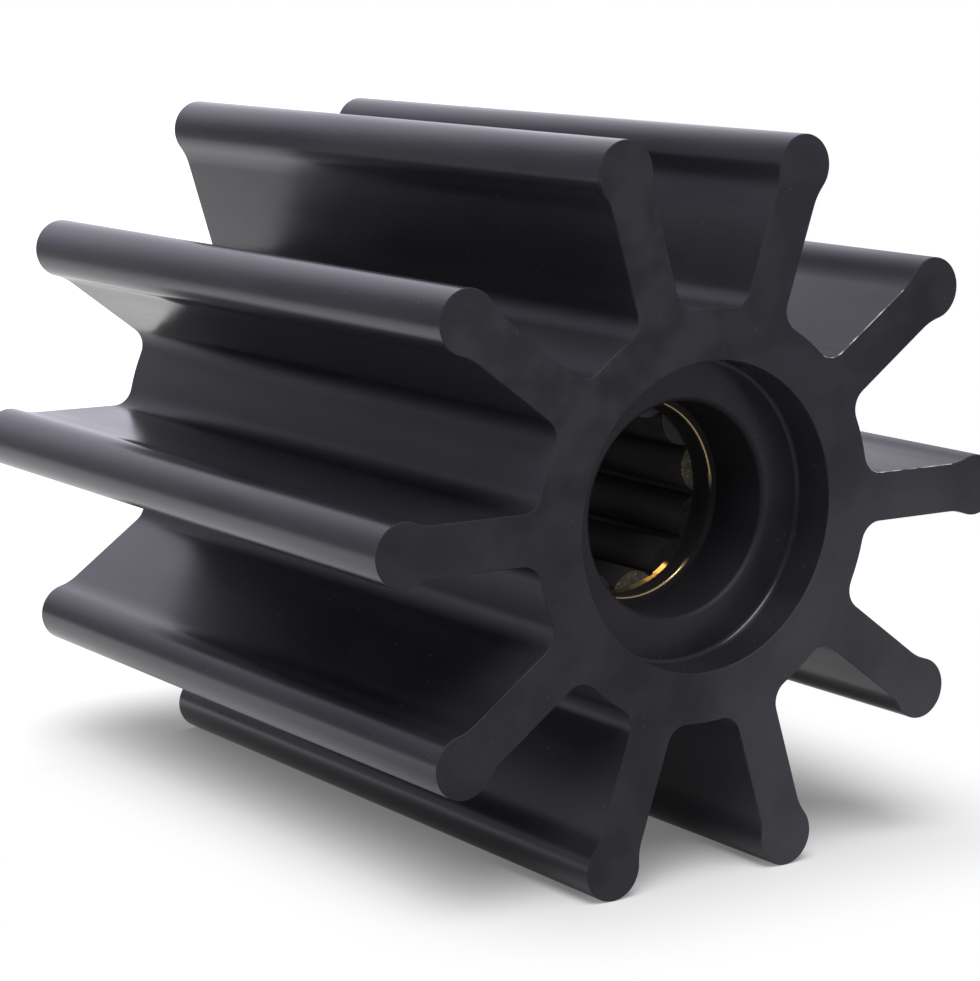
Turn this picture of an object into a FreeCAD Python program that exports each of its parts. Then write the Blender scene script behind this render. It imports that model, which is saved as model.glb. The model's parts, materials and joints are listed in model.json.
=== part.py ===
import FreeCAD, Part
import math
import os

import Sketcher

# Impeller of a flexible vane pump: a moulded rubber hub with straight vanes that carry a round bead
# along their outer edges, and a splined brass insert moulded into the hub's bore.
# Millimetres. The origin is the middle of the bore and +Y is the bore's axis, so the end that faces
# the viewer looks towards -Y. +Z is up as the impeller lies on the tips of its two lowest vanes.

# Driving dimensions: name, value and what it measures
DIMENSIONS = [
    ("tip_diameter", 95.2, "circle that the beads of the vanes touch"),
    ("moulding_length", 99.2, "from one end face of the rubber to the other"),
    ("vane_count", 10, "evenly spaced straight vanes"),
    ("vane_thickness", 6.2, "between the flat flanks of a vane"),
    ("bead_diameter", 7.8, "round bead along the outer edge of a vane"),
    ("bead_blend_radius", 7.0, "hollow curve between a flank and the bead"),
    ("hub_diameter", 50.6, "round hub between the vanes"),
    ("root_fillet_radius", 2.7, "hollow curve between a flank and the hub"),
    ("recess_diameter", 38.0, "wide recess in each end face"),
    ("recess_depth", 6.0, "from the end face to the recess floor"),
    ("recess_corner_radius", 0.6, "curve round the recess floor"),
    ("lip_bore_diameter", 26.6, "hole in the rubber lip that laps over the insert's end"),
    ("lip_thickness", 9.0, "from the recess floor to the insert"),
    ("lip_edge_radius", 0.75, "rounded edge of the hole in the lip"),
    ("insert_diameter", 32.0, "outside of the brass insert"),
    ("spline_root_diameter", 23.9, "bore of the insert, at the bottom of the spline grooves"),
    ("spline_tip_diameter", 20.3, "circle that the tips of the teeth touch"),
    ("spline_tooth_count", 12, "evenly spaced teeth with round faces"),
    ("spline_face_diameter", 6.8, "circle that a tooth's round face is part of"),
    ("spline_turn", 11.5, "degrees from the +X vane up to the first tooth"),
    ("pilot_diameter", 24.5, "plain bore at each end of the insert, just wider than the grooves"),
    ("pilot_depth", 2.5, "from the insert's end to the cone in front of its teeth"),
    ("lead_in", 0.4, "depth and half width of the cone that guides a shaft in between the teeth"),
    ("mouth_chamfer", 0.3, "broken edge at each mouth of the insert"),
]

# Numbers that a sketch gives to its own axes and to the points of an edge
H_AXIS, V_AXIS = -1, -2
START, END, CENTRE = 1, 2, 3

# How near a point has to be to count as the same one
SAME_PLACE = 0.001

document = FreeCAD.newDocument("Impeller")
sizes = document.addObject("Spreadsheet::Sheet", "Sizes")
for row, (alias, value, meaning) in enumerate(DIMENSIONS, start=1):
    sizes.set(f"A{row}", alias)
    sizes.set(f"B{row}", str(value))
    sizes.set(f"C{row}", meaning)
    sizes.setAlias(f"B{row}", alias)
document.recompute()


def size(alias):
    """A dimension as a plain number, to draw a sketch near its final place."""
    return float(getattr(sizes, alias))


def origin_part(body, role):
    """The body's own origin plane or axis with this role."""
    return next(part for part in body.Origin.OriginFeatures if part.Role == role)


def new_body(name):
    body = document.addObject("PartDesign::Body", name)
    body.Label = name
    return body


def new_sketch(body, name, role):
    sketch = body.newObject("Sketcher::SketchObject", name)
    sketch.AttachmentSupport = [(origin_part(body, role), "")]
    sketch.MapMode = "FlatFace"
    return sketch


def point(u, v):
    return FreeCAD.Vector(u, v, 0)


def line(sketch, start, end):
    return sketch.addGeometry(Part.LineSegment(point(*start), point(*end)), False)


def arc(sketch, start, middle, end):
    return sketch.addGeometry(Part.Arc(point(*start), point(*middle), point(*end)), False)


def rule(sketch, *terms):
    return sketch.addConstraint(Sketcher.Constraint(*terms))


def measure(sketch, name, expression, *terms):
    """A named dimension of the sketch that follows the spreadsheet."""
    sketch.renameConstraint(rule(sketch, *terms), name)
    sketch.setExpression(f"Constraints.{name}", expression)


def circle(sketch, name, expression, radius):
    """A full circle on the axis."""
    edge = sketch.addGeometry(Part.Circle(point(0, 0), FreeCAD.Vector(0, 0, 1), radius), False)
    rule(sketch, "Coincident", edge, CENTRE, H_AXIS, START)
    measure(sketch, name, expression, "Radius", edge, radius)


def pad_both_ways(body, sketch, name, expression):
    """Pad a section the same way towards both ends of the bore."""
    pad = body.newObject("PartDesign::Pad", name)
    pad.Profile = sketch
    pad.SideType = "Symmetric"
    pad.setExpression("Length", expression)
    return pad


def pattern_round(body, feature, name, count_alias):
    """Repeat a feature round the bore's axis."""
    pattern = body.newObject("PartDesign::PolarPattern", name)
    pattern.Originals = [feature]
    pattern.Axis = (origin_part(body, "Y_Axis"), [""])
    pattern.Angle = 360
    pattern.setExpression("Occurrences", f"Sizes.{count_alias}")
    body.Tip = pattern
    document.recompute()
    return pattern


def edges_where(shape, test):
    """Names of the edges that pass the test."""
    return [f"Edge{number}" for number, edge in enumerate(shape.Edges, start=1) if test(edge)]


# Length of the insert and of its seat, between the two rubber lips
SEAT_LENGTH = "(Sizes.moulding_length - 2 * Sizes.recess_depth - 2 * Sizes.lip_thickness)"


# Section of one vane, pointing along +X: flat flanks, hollow blends and the round bead
def draw_vane(body):
    sketch = new_sketch(body, "VaneSection", "XZ_Plane")
    half = size("vane_thickness") / 2
    bead = size("bead_diameter") / 2
    blend = size("bead_blend_radius")
    tip = size("tip_diameter") / 2
    bead_centre = tip - bead
    reach = math.sqrt((bead + blend) ** 2 - (half + blend) ** 2)
    blend_start = bead_centre - reach
    touch = (bead_centre - reach * bead / (bead + blend), bead * (half + blend) / (bead + blend))
    turn = math.atan2(half + blend, reach) / 2 + math.pi / 4
    bow = (blend_start + blend * math.cos(turn), half + blend - blend * math.sin(turn))
    inner = size("hub_diameter") / 2 - size("vane_thickness")

    closing = line(sketch, (inner, half), (inner, -half))
    lower_flank = line(sketch, (inner, -half), (blend_start, -half))
    lower_blend = arc(sketch, (blend_start, -half), (bow[0], -bow[1]), (touch[0], -touch[1]))
    bead_arc = arc(sketch, (touch[0], -touch[1]), (tip, 0), touch)
    upper_blend = arc(sketch, touch, bow, (blend_start, half))
    upper_flank = line(sketch, (blend_start, half), (inner, half))

    # An arc keeps its own sense, so the lower blend starts where it meets the bead or the flank
    lower_first, lower_last = arc_ends(sketch, lower_blend, (blend_start, -half))
    upper_first, upper_last = arc_ends(sketch, upper_blend, touch)
    bead_first, bead_last = arc_ends(sketch, bead_arc, (touch[0], -touch[1]))

    rule(sketch, "Coincident", closing, END, lower_flank, START)
    rule(sketch, "Tangent", lower_flank, END, lower_blend, lower_first)
    rule(sketch, "Tangent", lower_blend, lower_last, bead_arc, bead_first)
    rule(sketch, "Tangent", bead_arc, bead_last, upper_blend, upper_first)
    rule(sketch, "Tangent", upper_blend, upper_last, upper_flank, START)
    rule(sketch, "Coincident", upper_flank, END, closing, START)
    rule(sketch, "Horizontal", lower_flank)
    rule(sketch, "Horizontal", upper_flank)
    rule(sketch, "Symmetric", closing, START, closing, END, H_AXIS)
    rule(sketch, "PointOnObject", bead_arc, CENTRE, H_AXIS)
    rule(sketch, "Equal", lower_blend, upper_blend)
    measure(sketch, "thickness", "Sizes.vane_thickness", "Distance", closing, 2 * half)
    measure(sketch, "bead_radius", "Sizes.bead_diameter / 2", "Radius", bead_arc, bead)
    measure(sketch, "blend_radius", "Sizes.bead_blend_radius", "Radius", upper_blend, blend)
    measure(sketch, "bead_place", "(Sizes.tip_diameter - Sizes.bead_diameter) / 2",
            "DistanceX", H_AXIS, START, bead_arc, CENTRE, bead_centre)
    measure(sketch, "inner_end", "Sizes.hub_diameter / 2 - Sizes.vane_thickness",
            "DistanceX", H_AXIS, START, closing, START, inner)
    return sketch


def arc_ends(sketch, edge, first):
    """The two end numbers of an arc, the one at the given point first."""
    start = sketch.getPoint(edge, START)
    near = math.hypot(start.x - first[0], start.y - first[1]) < SAME_PLACE
    return (START, END) if near else (END, START)


# Half section of the stepped recess in one end face, turned round the Y axis
def draw_recess(body):
    sketch = new_sketch(body, "RecessSection", "XY_Plane")
    face = -size("moulding_length") / 2
    floor = face + size("recess_depth")
    seat = floor + size("lip_thickness")
    wall = size("recess_diameter") / 2
    lip = size("lip_bore_diameter") / 2
    corner = size("recess_corner_radius")
    edge = size("lip_edge_radius")
    bulge = 1 - math.sqrt(0.5)

    mouth = line(sketch, (0, face), (wall, face))
    side = line(sketch, (wall, face), (wall, floor - corner))
    corner_arc = arc(sketch, (wall, floor - corner), (wall - bulge * corner, floor - bulge * corner),
                     (wall - corner, floor))
    floor_line = line(sketch, (wall - corner, floor), (lip + edge, floor))
    edge_arc = arc(sketch, (lip + edge, floor), (lip + bulge * edge, floor + bulge * edge),
                   (lip, floor + edge))
    lip_line = line(sketch, (lip, floor + edge), (lip, seat))
    seat_line = line(sketch, (lip, seat), (0, seat))
    axis_line = line(sketch, (0, seat), (0, face))
    corner_first, corner_last = arc_ends(sketch, corner_arc, (wall, floor - corner))
    edge_first, edge_last = arc_ends(sketch, edge_arc, (lip + edge, floor))

    rule(sketch, "Coincident", mouth, END, side, START)
    rule(sketch, "Tangent", side, END, corner_arc, corner_first)
    rule(sketch, "Tangent", corner_arc, corner_last, floor_line, START)
    rule(sketch, "Tangent", floor_line, END, edge_arc, edge_first)
    rule(sketch, "Tangent", edge_arc, edge_last, lip_line, START)
    rule(sketch, "Coincident", lip_line, END, seat_line, START)
    rule(sketch, "Coincident", seat_line, END, axis_line, START)
    rule(sketch, "Coincident", axis_line, END, mouth, START)
    for level in (mouth, floor_line, seat_line):
        rule(sketch, "Horizontal", level)
    for upright in (side, lip_line, axis_line):
        rule(sketch, "Vertical", upright)
    rule(sketch, "PointOnObject", mouth, START, V_AXIS)
    measure(sketch, "face_place", "Sizes.moulding_length / 2",
            "DistanceY", mouth, START, H_AXIS, START, -face)
    measure(sketch, "recess_depth", "Sizes.recess_depth",
            "DistanceY", mouth, START, floor_line, END, floor - face)
    measure(sketch, "lip_thickness", "Sizes.lip_thickness",
            "DistanceY", floor_line, END, lip_line, END, seat - floor)
    measure(sketch, "recess_radius", "Sizes.recess_diameter / 2", "DistanceX", mouth, START, mouth, END, wall)
    measure(sketch, "lip_radius", "Sizes.lip_bore_diameter / 2",
            "DistanceX", axis_line, START, lip_line, END, lip)
    measure(sketch, "corner_radius", "Sizes.recess_corner_radius", "Radius", corner_arc, corner)
    measure(sketch, "edge_radius", "Sizes.lip_edge_radius", "Radius", edge_arc, edge)
    return sketch


# Section of one spline tooth, pointing in from +X: a broad round face, with sides buried in the wall
def draw_tooth(body):
    sketch = new_sketch(body, "ToothSection", "XZ_Plane")
    half = size("spline_face_diameter") / 2
    tip = size("spline_tip_diameter") / 2
    nose_centre = tip + half
    buried = (size("spline_root_diameter") + size("insert_diameter")) / 4

    nose = arc(sketch, (nose_centre, half), (tip, 0), (nose_centre, -half))
    lower_side = line(sketch, (nose_centre, -half), (buried, -half))
    closing = line(sketch, (buried, -half), (buried, half))
    upper_side = line(sketch, (buried, half), (nose_centre, half))
    nose_first, nose_last = arc_ends(sketch, nose, (nose_centre, half))

    rule(sketch, "Tangent", nose, nose_last, lower_side, START)
    rule(sketch, "Coincident", lower_side, END, closing, START)
    rule(sketch, "Coincident", closing, END, upper_side, START)
    rule(sketch, "Tangent", upper_side, END, nose, nose_first)
    rule(sketch, "Horizontal", lower_side)
    rule(sketch, "Vertical", closing)
    rule(sketch, "PointOnObject", nose, CENTRE, H_AXIS)
    measure(sketch, "nose_radius", "Sizes.spline_face_diameter / 2", "Radius", nose, half)
    measure(sketch, "nose_place", "(Sizes.spline_tip_diameter + Sizes.spline_face_diameter) / 2",
            "DistanceX", H_AXIS, START, nose, CENTRE, nose_centre)
    measure(sketch, "buried_end", "(Sizes.spline_root_diameter + Sizes.insert_diameter) / 4",
            "DistanceX", H_AXIS, START, closing, START, buried)
    return sketch


# Half section of the plain bore at one end of the insert, with its broken edge and the cone in front
# of the teeth, turned round the Y axis
def draw_pilot(body):
    sketch = new_sketch(body, "PilotSection", "XY_Plane")
    face = size("recess_depth") + size("lip_thickness") - size("moulding_length") / 2
    radius = size("pilot_diameter") / 2
    chamfer = size("mouth_chamfer")
    cone = size("lead_in")
    depth = size("pilot_depth")
    floor = face + depth + cone

    mouth = line(sketch, (0, face), (radius + chamfer, face))
    broken = line(sketch, (radius + chamfer, face), (radius, face + chamfer))
    side = line(sketch, (radius, face + chamfer), (radius, face + depth))
    slope = line(sketch, (radius, face + depth), (radius - cone, floor))
    floor_line = line(sketch, (radius - cone, floor), (0, floor))
    axis_line = line(sketch, (0, floor), (0, face))

    ring = (mouth, broken, side, slope, floor_line, axis_line)
    for edge, following in zip(ring, ring[1:] + ring[:1]):
        rule(sketch, "Coincident", edge, END, following, START)
    rule(sketch, "Horizontal", mouth)
    rule(sketch, "Horizontal", floor_line)
    rule(sketch, "Vertical", side)
    rule(sketch, "Vertical", axis_line)
    rule(sketch, "PointOnObject", mouth, START, V_AXIS)
    measure(sketch, "face_place", f"{SEAT_LENGTH} / 2", "DistanceY", mouth, START, H_AXIS, START, -face)
    measure(sketch, "depth", "Sizes.pilot_depth", "DistanceY", mouth, START, side, END, depth)
    measure(sketch, "radius", "Sizes.pilot_diameter / 2", "DistanceX", mouth, START, side, END, radius)
    measure(sketch, "chamfer_out", "Sizes.mouth_chamfer", "DistanceX", broken, END, broken, START, chamfer)
    measure(sketch, "chamfer_in", "Sizes.mouth_chamfer", "DistanceY", broken, START, broken, END, chamfer)
    measure(sketch, "lead_width", "Sizes.lead_in", "DistanceX", slope, END, slope, START, cone)
    measure(sketch, "lead_depth", "Sizes.lead_in", "DistanceY", slope, START, slope, END, cone)
    return sketch


def cut_both_ends(body, section, near_name, far_name):
    """Turn a half section into a hollow at the near end, and the same at the far end."""
    near = body.newObject("PartDesign::Groove", near_name)
    near.Profile = section
    near.ReferenceAxis = (section, ["V_Axis"])
    near.Angle = 360
    body.Tip = near
    far = body.newObject("PartDesign::Mirrored", far_name)
    far.Originals = [near]
    far.MirrorPlane = (origin_part(body, "XZ_Plane"), [""])
    body.Tip = far


# Rubber moulding: hub, vanes, root fillets, the recess in each end and the seat of the insert
def make_moulding():
    body = new_body("rubber_moulding")
    hub_radius = size("hub_diameter") / 2

    hub_section = new_sketch(body, "HubSection", "XZ_Plane")
    circle(hub_section, "hub_radius", "Sizes.hub_diameter / 2", hub_radius)
    pad_both_ways(body, hub_section, "Hub", "Sizes.moulding_length")

    vane = pad_both_ways(body, draw_vane(body), "Vane", "Sizes.moulding_length")
    vanes = pattern_round(body, vane, "Vanes", "vane_count")

    def is_vane_root(edge):
        ends = [vertex.Point for vertex in edge.Vertexes]
        along = len(ends) == 2 and abs(ends[0].y - ends[1].y) > size("moulding_length") / 2
        return along and all(abs(math.hypot(end.x, end.z) - hub_radius) < SAME_PLACE for end in ends)

    roots = body.newObject("PartDesign::Fillet", "RootFillets")
    roots.Base = (vanes, edges_where(vanes.Shape, is_vane_root))
    roots.setExpression("Radius", "Sizes.root_fillet_radius")
    body.Tip = roots

    cut_both_ends(body, draw_recess(body), "NearRecess", "FarRecess")

    seat_section = new_sketch(body, "SeatSection", "XZ_Plane")
    circle(seat_section, "seat_radius", "Sizes.insert_diameter / 2", size("insert_diameter") / 2)
    seat = body.newObject("PartDesign::Pocket", "InsertSeat")
    seat.Profile = seat_section
    seat.SideType = "Symmetric"
    seat.setExpression("Length", SEAT_LENGTH)
    body.Tip = seat
    return body


# Brass insert: a plain sleeve with rounded teeth inside, cut back by the plain bore at each end
def make_insert():
    body = new_body("splined_insert")
    sleeve_section = new_sketch(body, "SleeveSection", "XZ_Plane")
    circle(sleeve_section, "outer_radius", "Sizes.insert_diameter / 2", size("insert_diameter") / 2)
    circle(sleeve_section, "bore_radius", "Sizes.spline_root_diameter / 2",
           size("spline_root_diameter") / 2)
    pad_both_ways(body, sleeve_section, "Sleeve", SEAT_LENGTH)

    tooth = pad_both_ways(body, draw_tooth(body), "Tooth", SEAT_LENGTH)
    pattern_round(body, tooth, "Teeth", "spline_tooth_count")
    cut_both_ends(body, draw_pilot(body), "NearPilot", "FarPilot")
    body.Placement = FreeCAD.Placement(FreeCAD.Vector(), FreeCAD.Vector(0, -1, 0), size("spline_turn"))
    return body


pieces = [make_moulding(), make_insert()]
document.recompute()

# Every feature has to be sound before anything is written
for feature in document.Objects:
    if {"Invalid", "Error"} & set(feature.State):
        raise RuntimeError(f"{feature.Name} did not build: {feature.State}")

os.makedirs("parts", exist_ok=True)
for piece in pieces:
    if piece.Shape.isNull() or not piece.Shape.isValid() or len(piece.Shape.Solids) != 1:
        raise RuntimeError(f"{piece.Label} is not one sound solid")
    box = piece.Shape.BoundBox
    piece.Shape.exportStep(f"parts/{piece.Label}.step")
    print(f"{piece.Label}: {piece.Shape.Volume / 1000:.2f} cm3, "
          f"{box.XLength:.2f} x {box.YLength:.2f} x {box.ZLength:.2f} mm")
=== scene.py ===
# %% [markdown]
# A flexible impeller from a water pump: a black rubber hub with ten straight vanes, each with a round
# bead along its outer edge, moulded round a splined brass insert. The frame holds both pieces at
# their real size. This file models each of them again with the fine edges that catch the light, and
# gives them the finish of cut rubber, moulded rubber and machined brass. All places are in metres:
# +Y runs along the bore, away from the viewer, and +Z is up.

# %% The frame
import json
import math

import bmesh
import bpy
from mathutils import Matrix, Vector


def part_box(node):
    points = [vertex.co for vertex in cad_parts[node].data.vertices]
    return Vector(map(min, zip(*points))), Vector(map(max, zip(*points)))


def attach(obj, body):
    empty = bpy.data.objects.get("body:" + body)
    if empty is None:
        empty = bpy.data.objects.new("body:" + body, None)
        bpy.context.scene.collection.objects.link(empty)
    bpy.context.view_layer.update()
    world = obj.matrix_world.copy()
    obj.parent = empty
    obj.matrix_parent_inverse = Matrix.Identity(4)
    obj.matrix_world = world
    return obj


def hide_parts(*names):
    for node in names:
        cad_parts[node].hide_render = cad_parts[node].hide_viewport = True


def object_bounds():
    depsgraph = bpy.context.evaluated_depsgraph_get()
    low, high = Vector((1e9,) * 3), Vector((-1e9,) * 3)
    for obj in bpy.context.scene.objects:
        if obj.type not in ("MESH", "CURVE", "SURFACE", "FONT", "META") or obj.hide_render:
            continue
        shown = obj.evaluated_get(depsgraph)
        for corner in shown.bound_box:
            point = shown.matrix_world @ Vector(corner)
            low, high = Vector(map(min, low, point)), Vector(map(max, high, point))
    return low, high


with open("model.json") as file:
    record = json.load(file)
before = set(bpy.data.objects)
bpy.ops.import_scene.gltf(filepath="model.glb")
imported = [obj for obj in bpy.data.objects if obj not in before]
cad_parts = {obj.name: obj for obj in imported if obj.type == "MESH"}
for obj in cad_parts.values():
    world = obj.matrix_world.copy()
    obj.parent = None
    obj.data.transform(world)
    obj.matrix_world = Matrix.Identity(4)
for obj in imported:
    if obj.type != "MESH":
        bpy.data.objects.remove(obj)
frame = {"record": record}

frame_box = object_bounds()
print("frame box in mm:", [[round(1000 * c, 2) for c in corner] for corner in frame_box])

# %% [markdown]
# What can be read from the frame isn't written again: the boxes of the two pieces give the length of
# the rubber, the reach of its vanes and the size of the insert, and the mounts give the recess and
# the plain bore at each end. The other sizes of the section are named here once, in metres.

# %% Sizes
MM = 0.001
mounts = {mount["name"]: mount for mount in frame["record"]["mounts"]}
rubber_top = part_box("rubber_moulding")[1]
insert_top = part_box("splined_insert")[1]

TIP_RADIUS = rubber_top.x
HALF_LENGTH = rubber_top.y
SLEEVE_RADIUS = insert_top.x
SLEEVE_HALF_LENGTH = insert_top.y
RECESS_RADIUS = mounts["near_recess"]["dims"]["r_mm"] * MM
PILOT_RADIUS = mounts["near_pilot"]["dims"]["r_mm"] * MM

VANE_COUNT = 10
HALF_VANE = 3.1 * MM
BEAD_RADIUS = 3.9 * MM
BLEND_RADIUS = 7.0 * MM
HUB_RADIUS = 25.3 * MM
RECESS_DEPTH = 6.0 * MM
RECESS_CORNER = 0.6 * MM
LIP_RADIUS = 13.3 * MM
LIP_EDGE = 0.75 * MM
RUBBER_EDGE = 0.15 * MM

TOOTH_COUNT = 12
TOOTH_FACE_RADIUS = 3.4 * MM
TOOTH_TIP_RADIUS = 10.15 * MM
GROOVE_RADIUS = 11.95 * MM
SPLINE_TURN = 11.5
PILOT_DEPTH = 2.5 * MM
LEAD_IN = 0.4 * MM
MOUTH_EDGE = 0.3 * MM
BRASS_EDGE = 0.07 * MM

SAME_PLACE = 0.01 * MM
print("vanes reach", round(TIP_RADIUS / MM, 2), "mm, rubber is",
      round(2 * HALF_LENGTH / MM, 2), "mm long")

# %% [markdown]
# Both pieces repeat round the bore, so each is modelled as one slice of a tube: one vane with its
# share of the hub, one tooth with its share of the sleeve. The slice is cut out of a cylinder whose
# sides are 3 degrees wide, some of its faces are extruded step by step along the section's outline,
# its open ends are extruded inward along the section of the bore, and the finished slice is copied
# round with the spin tool. These helpers select by place, so that the steps read like work by hand.

# %% Helpers for modelling
SIDES = 120
HALF_SIDE = 180 / SIDES
FLAT = 0.99


def pick(kind, test):
    """In edit mode, select only the faces, edges or vertices that pass the test."""
    bpy.ops.mesh.select_mode(type=kind)
    bpy.ops.mesh.select_all(action="DESELECT")
    mesh = bmesh.from_edit_mesh(bpy.context.object.data)
    for element in {"FACE": mesh.faces, "EDGE": mesh.edges, "VERT": mesh.verts}[kind]:
        if test(element):
            element.select_set(True)
    mesh.select_flush_mode()
    bmesh.update_edit_mesh(bpy.context.object.data)


def turn_of(place):
    """Degrees round the bore, from +X towards +Z."""
    return math.degrees(math.atan2(place.z, place.x))


def off_axis(place):
    return math.hypot(place.x, place.z)


def on_end_rim(edge, radius, half_length):
    """Whether an edge lies along one of the two end circles of a tube."""
    near, far = (vertex.co for vertex in edge.verts)
    at_one_end = abs(near.y - far.y) < SAME_PLACE and abs(abs(near.y) - half_length) < SAME_PLACE
    return at_one_end and all(abs(off_axis(place) - radius) < SAME_PLACE for place in (near, far))


def open_tube(name, radius, half_length, turn):
    """A tube round the bore with open ends, in edit mode, its sides turned by some degrees."""
    bpy.ops.object.select_all(action="DESELECT")
    bpy.ops.mesh.primitive_cylinder_add(
        vertices=SIDES, radius=radius, depth=2 * half_length, end_fill_type="NOTHING",
        rotation=(math.radians(90), math.radians(turn), 0))
    tube = bpy.context.object
    tube.name = tube.data.name = name
    bpy.ops.object.transform_apply(location=False, rotation=True, scale=False)
    bpy.ops.object.mode_set(mode="EDIT")
    return tube


def arc_points(centre, radius, start, end, count):
    """Points along an arc, without its first one. Angles are in degrees."""
    turns = [math.radians(start + (end - start) * step / count) for step in range(1, count + 1)]
    return [(centre[0] + radius * math.cos(turn), centre[1] + radius * math.sin(turn)) for turn in turns]


def raise_faces(outline):
    """Extrude the selected faces along X, through the (distance, half width) points of an outline."""
    for (x, width), (next_x, next_width) in zip(outline, outline[1:]):
        bpy.ops.mesh.extrude_region_move(TRANSFORM_OT_translate={"value": (next_x - x, 0, 0)})
        grow = next_width / width
        bpy.ops.transform.resize(value=(grow, 1, grow), center_override=(next_x, 0, 0))


def round_off(at_x, bow, new_bow):
    """Give the selected faces a new bow along X, measured from their outer sides at at_x."""
    bpy.ops.transform.resize(value=(new_bow / bow, 1, 1), center_override=(at_x, 0, 0))


def line_ends(section):
    """Extrude the selected edges of both ends through the (radius, distance) points of a section."""
    for (radius, along), (next_radius, next_along) in zip(section, section[1:]):
        bpy.ops.mesh.extrude_region_move()
        grow = next_radius / radius
        bpy.ops.transform.resize(value=(grow, next_along / along, grow), center_override=(0, 0, 0))


def join_flat_ends(height):
    """Make one face of all the flat ones at each end of the slice, so that its outline bevels evenly."""
    for end in (-height, height):
        pick("FACE", lambda face: abs(face.normal.y) > FLAT
             and abs(face.calc_center_median().y - end) < SAME_PLACE)
        bpy.ops.mesh.dissolve_faces()


def repeat_round(count):
    """Copy the slice round the bore, join the copies and turn all faces outwards."""
    bpy.ops.mesh.select_all(action="SELECT")
    bpy.ops.mesh.spin(steps=count - 1, dupli=True, angle=math.radians(360 * (count - 1) / count),
                      center=(0, 0, 0), axis=(0, 1, 0))
    bpy.ops.mesh.select_all(action="SELECT")
    bpy.ops.mesh.remove_doubles(threshold=SAME_PLACE / 10)
    bpy.ops.mesh.normals_make_consistent(inside=False)


def report(piece):
    mesh = bmesh.new()
    mesh.from_mesh(piece.data)
    open_edges = sum(len(edge.link_faces) != 2 for edge in mesh.edges)
    volume = mesh.calc_volume()
    mesh.free()
    print(piece.name, len(piece.data.polygons), "faces,", open_edges, "open edges,",
          round(volume * 1e6, 2), "cm3")


# %% [markdown]
# One vane. On the real part the flank runs into the hub through a small hollow fillet, and into the
# bead through a wider hollow curve. The eight faces that span 24 degrees of the hub are extruded
# outwards through the points of that outline, each step scaled to the vane's width there. The fillet
# has the one radius that starts it exactly on a side of the cylinder. The last step stops short of
# the tip, where the eight faces are bowed until they close the bead.

# %% One vane and its share of the hub
ROOT_TURN = 12.0
CAP_TURN = 24.0
half_slice = 180 / VANE_COUNT
root_sine = math.sin(math.radians(ROOT_TURN))
root_cosine = math.cos(math.radians(ROOT_TURN))
fillet_radius = (HUB_RADIUS * root_sine - HALF_VANE) / (1 - root_sine)
fillet_centre = ((HUB_RADIUS + fillet_radius) * root_cosine, HALF_VANE + fillet_radius)
bead_centre = TIP_RADIUS - BEAD_RADIUS
blend_turn = math.degrees(math.acos((HALF_VANE + BLEND_RADIUS) / (BEAD_RADIUS + BLEND_RADIUS)))
blend_start = bead_centre - math.sin(math.radians(blend_turn)) * (BEAD_RADIUS + BLEND_RADIUS)

vane_outline = [(HUB_RADIUS * root_cosine, HUB_RADIUS * root_sine)]
vane_outline += arc_points(fillet_centre, fillet_radius, 180 + ROOT_TURN, 270, count=7)
vane_outline += [(blend_start, HALF_VANE)]
vane_outline += arc_points((blend_start, HALF_VANE + BLEND_RADIUS), BLEND_RADIUS,
                           270, 270 + blend_turn, count=5)
vane_outline += arc_points((bead_centre, 0), BEAD_RADIUS, 90 + blend_turn, CAP_TURN, count=13)

moulding = open_tube("moulded_rubber", HUB_RADIUS, HALF_LENGTH, turn=0)
pick("FACE", lambda face: abs(turn_of(face.calc_center_median())) > half_slice)
bpy.ops.mesh.delete(type="FACE")
pick("FACE", lambda face: abs(turn_of(face.calc_center_median())) < ROOT_TURN)
raise_faces(vane_outline)
cap_x, cap_width = vane_outline[-1]
root_bow = HUB_RADIUS * (1 - root_cosine) * cap_width / vane_outline[0][1]
round_off(cap_x, root_bow, BEAD_RADIUS * (1 - math.cos(math.radians(CAP_TURN))))
print("vane outline has", len(vane_outline), "points, root fillet", round(fillet_radius / MM, 2), "mm")

# %% [markdown]
# The bore of the rubber. Each end has a wide recess with a rounded floor, then a lip with a softened
# edge that laps over the end of the insert. Both ends are alike, so the edges of both rims are
# extruded together: scaling them about the origin takes each to its own place, and the last step
# brings the two ends together in the middle, behind the insert.

# %% The recesses and the seat of the insert
recess_floor = HALF_LENGTH - RECESS_DEPTH
bore_section = [(HUB_RADIUS, HALF_LENGTH), (RECESS_RADIUS, HALF_LENGTH),
                (RECESS_RADIUS, recess_floor + RECESS_CORNER)]
bore_section += arc_points((RECESS_RADIUS - RECESS_CORNER, recess_floor + RECESS_CORNER),
                           RECESS_CORNER, 0, -90, count=5)
bore_section += [(LIP_RADIUS + LIP_EDGE, recess_floor)]
bore_section += arc_points((LIP_RADIUS + LIP_EDGE, recess_floor - LIP_EDGE), LIP_EDGE,
                           90, 180, count=5)
bore_section += [(LIP_RADIUS, SLEEVE_HALF_LENGTH), (SLEEVE_RADIUS, SLEEVE_HALF_LENGTH),
                 (SLEEVE_RADIUS, 0)]

pick("EDGE", lambda edge: on_end_rim(edge, HUB_RADIUS, HALF_LENGTH))
line_ends(bore_section)
join_flat_ends(HALF_LENGTH)
repeat_round(VANE_COUNT)
print("bore section has", len(bore_section), "points, lip starts",
      round(recess_floor / MM, 2), "mm from the middle")

# %% [markdown]
# The ends of the moulding are cut flat, and the knife leaves an edge that is sharp but not perfect.
# A narrow bevel on every edge where a flat end meets a side gives it the thin line of light that
# real rubber shows there. Weighted normals then keep the wide flat faces flat to the eye.

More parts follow.
